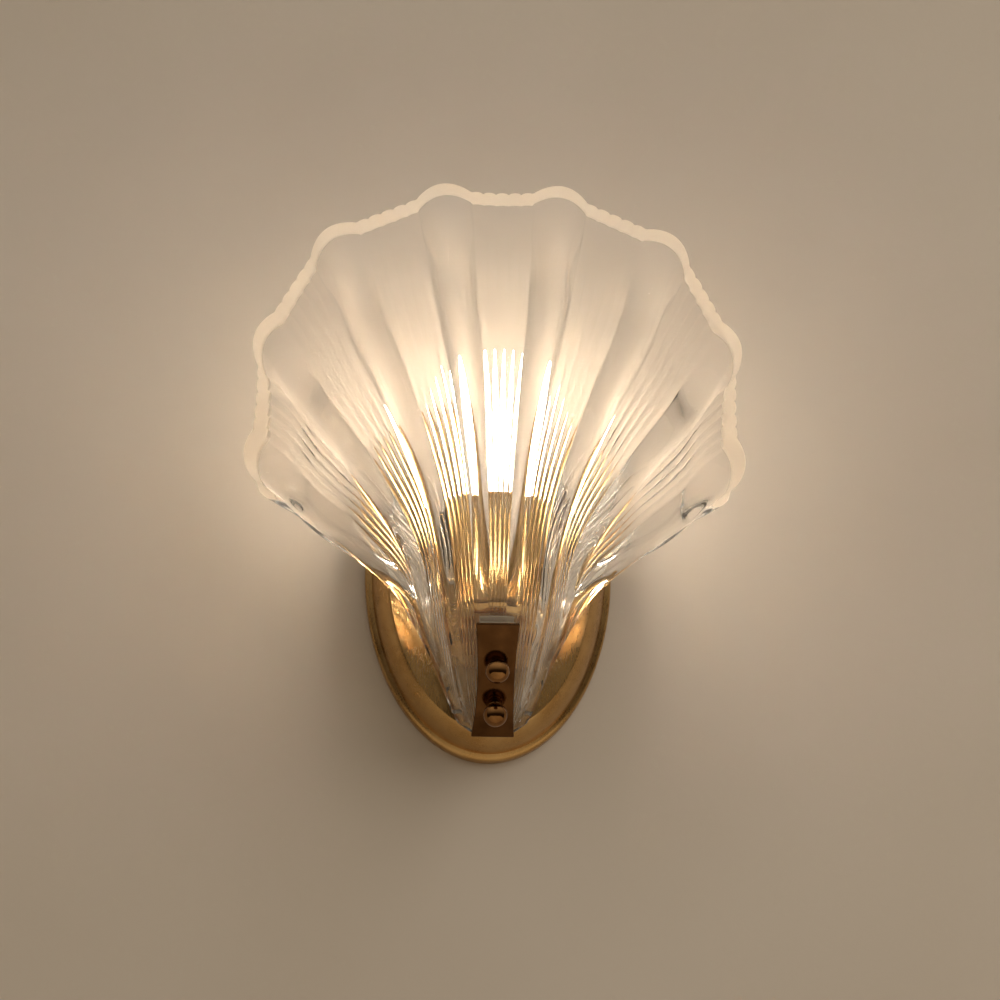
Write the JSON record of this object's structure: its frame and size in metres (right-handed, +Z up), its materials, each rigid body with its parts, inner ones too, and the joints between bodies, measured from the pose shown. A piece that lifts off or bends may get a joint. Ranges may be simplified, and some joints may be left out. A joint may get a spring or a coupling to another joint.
{
  "type": "wall sconce",
  "caption": "Wall sconce with a clear pressed-glass scallop shell clamped by its tail to a brass arm, in front of a candle bulb on an oval brass backplate.",
  "frame": {"origin": "centre of the backplate's wall face", "axes": "+X across to the viewer's right, -Y out from the wall, +Z up"},
  "size_m": [0.2532, 0.1333, 0.2678],
  "materials": {
    "satin_brass_backplate": "satin lacquered brass, warm gold",
    "cast_brass": "cast brass, softly polished",
    "polished_brass_cup": "polished spun brass",
    "bright_brass": "plain machined brass",
    "aged_bronze_plate": "polished brass darkened to bronze",
    "aged_bronze_nut": "polished turned brass darkened to bronze",
    "zinc_plated_steel": "zinc plated, matt",
    "blackened_steel": "blackened steel screw",
    "white_nylon": "moulded nylon, matt",
    "black_rubber": "moulded rubber",
    "clear_rubber": "translucent silicone rubber",
    "glazed_porcelain": "white glazed porcelain",
    "pressed_glass": "clear pressed glass, fire polished, rim ground flat",
    "frosted_bulb_glass": "frosted bulb glass, lit from inside",
    "clear_stem_glass": "clear glass stem",
    "black_glass_insulator": "black vitrite insulator, glossy",
    "glowing_filament": "glowing filament stick"
  },
  "bodies": {
    "fixture": {"backplate": "satin_brass_backplate", "wall_crossbar": "zinc_plated_steel", "crossbar_studs": "zinc_plated_steel", "earth_screw": "bright_brass", "earth_washer": "bright_brass", "terminal_block": "white_nylon", "terminal_screws": "bright_brass", "wall_grommet": "black_rubber", "arm_bracket": "cast_brass", "arm_screws": "blackened_steel", "arm_screw_nuts": "zinc_plated_steel", "hollow_nipple": "bright_brass", "nipple_lock_nut": "bright_brass", "cup_seat_nut": "bright_brass", "lamp_cup": "polished_brass_cup", "lampholder_body": "glazed_porcelain", "lampholder_screw_shell": "bright_brass", "lampholder_contact": "bright_brass", "glass_shell": "pressed_glass", "clamp_plate": "aged_bronze_plate", "front_gasket": "clear_rubber", "rear_gasket": "clear_rubber", "stud_sleeves": "clear_rubber", "clamp_studs": "bright_brass"},
    "bulb_foot": {"bulb_contact": "bright_brass"},
    "bulb": {"bulb_glass": "frosted_bulb_glass", "bulb_cap": "bright_brass", "bulb_insulator": "black_glass_insulator", "bulb_stem": "clear_stem_glass", "bulb_filaments": "glowing_filament"},
    "clamp_collar_lower": {"clamp_collar_lower": "aged_bronze_nut"},
    "clamp_nut_lower": {"clamp_ball_nut_lower": "aged_bronze_nut"},
    "clamp_collar_upper": {"clamp_collar_upper": "aged_bronze_nut"},
    "clamp_nut_upper": {"clamp_ball_nut_upper": "aged_bronze_nut"},
    "plate_collar_left": {"plate_collar_left": "aged_bronze_nut"},
    "plate_nut_left": {"plate_ball_nut_left": "aged_bronze_nut"},
    "plate_collar_right": {"plate_collar_right": "aged_bronze_nut"},
    "plate_nut_right": {"plate_ball_nut_right": "aged_bronze_nut"}
  },
  "joints": [
    {"name": "bulb_lift", "type": "slide", "parent": "fixture", "child": "bulb_foot", "axis": [0, 0, 1], "range_m": [0, 0.0091]},
    {"name": "bulb_turn", "type": "hinge", "parent": "bulb_foot", "child": "bulb", "pos_m": [0, -0.057, 0.017], "axis": [0, 0, 1], "range_deg": [0, 1148]},
    {"name": "clamp_lower_back_off", "type": "slide", "parent": "fixture", "child": "clamp_collar_lower", "axis": [0, -0.6484, -0.7613], "range_m": [0, 0.007]},
    {"name": "clamp_lower_unscrew", "type": "hinge", "parent": "clamp_collar_lower", "child": "clamp_nut_lower", "pos_m": [0, -0.06348, -0.08767], "axis": [0, -0.6484, -0.7613], "range_deg": [0, 3190]},
    {"name": "clamp_upper_back_off", "type": "slide", "parent": "fixture", "child": "clamp_collar_upper", "axis": [0, -0.8201, -0.5722], "range_m": [0, 0.007]},
    {"name": "clamp_upper_unscrew", "type": "hinge", "parent": "clamp_collar_upper", "child": "clamp_nut_upper", "pos_m": [0, -0.07985, -0.06981], "axis": [0, -0.8201, -0.5722], "range_deg": [0, 3190]},
    {"name": "plate_left_back_off", "type": "slide", "parent": "fixture", "child": "plate_collar_left", "axis": [0, -1, 0], "range_m": [0, 0.005]},
    {"name": "plate_left_unscrew", "type": "hinge", "parent": "plate_collar_left", "child": "plate_nut_left", "pos_m": [-0.021, -0.0315, -0.005], "axis": [0, -1, 0], "range_deg": [0, 2600]},
    {"name": "plate_right_back_off", "type": "slide", "parent": "fixture", "child": "plate_collar_right", "axis": [0, -1, 0], "range_m": [0, 0.005]},
    {"name": "plate_right_unscrew", "type": "hinge", "parent": "plate_collar_right", "child": "plate_nut_right", "pos_m": [0.021, -0.0315, -0.005], "axis": [0, -1, 0], "range_deg": [0, 2600]}
  ],
  "couplings": [
    {"joint": "bulb_lift", "follows": "bulb_turn", "m_per_rad": 0.00044913},
    {"joint": "clamp_lower_unscrew", "follows": "clamp_lower_back_off", "rad_per_m": 7854},
    {"joint": "clamp_upper_unscrew", "follows": "clamp_upper_back_off", "rad_per_m": 7854},
    {"joint": "plate_left_unscrew", "follows": "plate_left_back_off", "rad_per_m": 8976},
    {"joint": "plate_right_unscrew", "follows": "plate_right_back_off", "rad_per_m": 8976}
  ]
}
